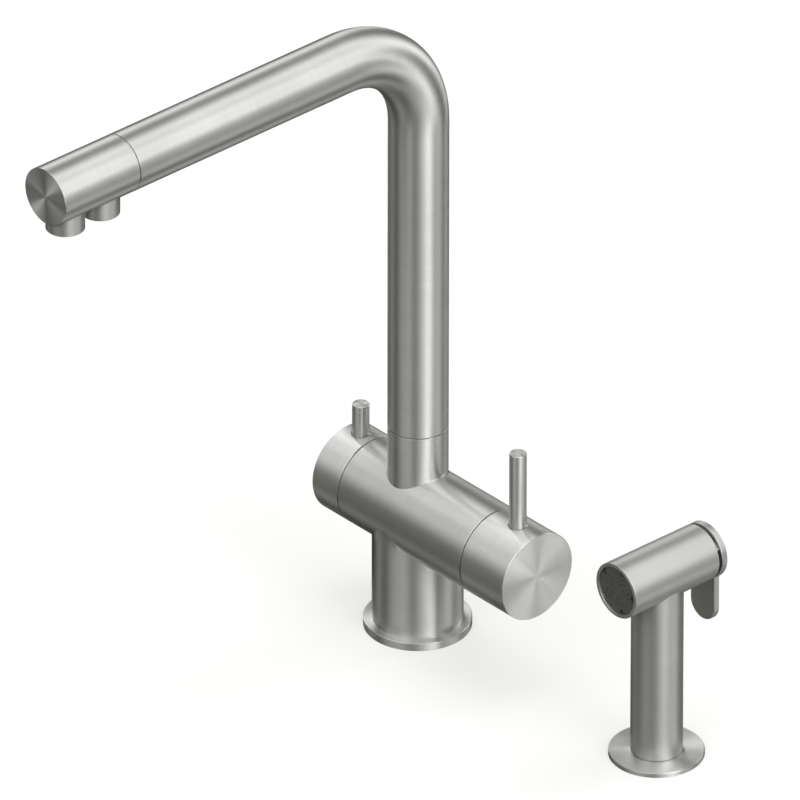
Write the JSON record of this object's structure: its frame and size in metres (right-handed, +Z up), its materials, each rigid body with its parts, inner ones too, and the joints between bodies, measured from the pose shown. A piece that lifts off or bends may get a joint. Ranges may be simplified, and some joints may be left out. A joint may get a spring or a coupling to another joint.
{
  "type": "side spray kitchen faucet",
  "caption": "Tall kitchen faucet with a swivel spout, mixer and filtered-water knobs on a cross barrel, and a separate lift-out hand spray with a trigger.",
  "frame": {"origin": "the faucet column's axis at the deck surface", "axes": "+Z up along the column, -Y along the spout's arm to its outlets, +X along the barrel to the mixer knob and the hand spray"},
  "size_m": [0.2263, 0.2615, 0.33],
  "materials": {
    "stainless": "fine circumferential satin brushing",
    "steel_fastener": "turned",
    "brass": "machined",
    "ceramic": "lapped alumina",
    "white_plastic": "moulded",
    "black_rubber": "moulded",
    "dark_plastic": "moulded, dark grey",
    "grey_plastic": "moulded"
  },
  "bodies": {
    "faucet_base": {"base_flange": "stainless", "base_gasket": "black_rubber", "valve_body": "stainless", "spout_stop_screw": "steel_fastener", "cartridge_seals": "black_rubber", "cartridge_base": "white_plastic", "fixed_mixing_disc": "ceramic", "cartridge_housing": "white_plastic", "cartridge_nut": "brass", "filter_valve_seal": "black_rubber", "filter_valve_body": "brass", "fixed_filter_disc": "ceramic", "diverter_body": "white_plastic", "filter_riser": "white_plastic", "spray_holder": "stainless", "holder_gasket": "black_rubber"},
    "diverter": {"diverter_spool": "white_plastic"},
    "spout": {"spout_spindle": "brass", "glide_rings": "white_plastic", "spindle_o_rings": "black_rubber", "swivel_washer": "dark_plastic", "spout_tube": "stainless", "outlet_head": "stainless", "mixed_collar": "stainless", "filtered_collar": "stainless", "mixed_aerator": "grey_plastic", "filtered_insert": "grey_plastic", "filter_tube": "white_plastic"},
    "mixer_handle": {"moving_mixing_disc": "ceramic", "mixer_stem": "white_plastic", "mixer_knob": "stainless", "mixer_lever": "stainless", "mixer_grub_screw": "steel_fastener"},
    "filter_handle": {"moving_filter_disc": "ceramic", "filter_stem": "brass", "filter_knob": "stainless", "filter_lever": "stainless", "filter_grub_screw": "steel_fastener"},
    "holder_bush": {"spray_bush": "white_plastic"},
    "hand_spray": {"spray_handle": "stainless", "hose_connector": "brass", "spray_riser": "brass", "spray_head": "stainless", "hinge_pin": "steel_fastener", "spray_valve_body": "white_plastic", "gland_seal": "black_rubber", "spring_seat": "white_plastic", "spray_face": "dark_plastic", "face_seal": "black_rubber"},
    "spray_trigger": {"trigger": "stainless"},
    "spray_plunger": {"valve_plunger": "brass", "plunger_washer": "black_rubber", "plunger_spring": "steel_fastener"}
  },
  "joints": [
    {"name": "spout_swivel", "type": "hinge", "parent": "faucet_base", "child": "spout", "pos_m": [0, 0, 0.1064], "axis": [0, 0, 1], "range_deg": [-90, 90]},
    {"name": "mixer_turn", "type": "hinge", "parent": "faucet_base", "child": "mixer_handle", "pos_m": [0.0683, 0, 0.062], "axis": [1, 0, 0], "range_deg": [0, 100]},
    {"name": "filter_turn", "type": "hinge", "parent": "faucet_base", "child": "filter_handle", "pos_m": [-0.0392, 0, 0.062], "axis": [1, 0, 0], "range_deg": [0, 90]},
    {"name": "diverter_rise", "type": "slide", "parent": "faucet_base", "child": "diverter", "axis": [0, 0, 1], "range_m": [0, 0.003]},
    {"name": "spray_turn", "type": "hinge", "parent": "faucet_base", "child": "holder_bush", "pos_m": [0.1559, 0.0065, 0.0026], "axis": [0, 0, 1], "range_deg": [-180, 180]},
    {"name": "spray_lift", "type": "slide", "parent": "holder_bush", "child": "hand_spray", "axis": [0, 0, 1], "range_m": [0, 0.15]},
    {"name": "trigger_press", "type": "hinge", "parent": "hand_spray", "child": "spray_trigger", "pos_m": [0.1559, 0.03315, 0.1024], "axis": [-1, 0, 0], "range_deg": [0, 4.2], "stiffness_Nm_per_rad": 0.4, "springref_deg": -8.59},
    {"name": "plunger_slide", "type": "slide", "parent": "hand_spray", "child": "spray_plunger", "axis": [0, -1, 0], "range_m": [0, 0.00085], "deforming": ["plunger_spring"]}
  ],
  "couplings": [
    {"joint": "plunger_slide", "follows": "trigger_press", "m_per_rad": 0.0115},
    {"joint": "diverter_rise", "follows": "trigger_press", "m_per_rad": 0.0409}
  ]
}
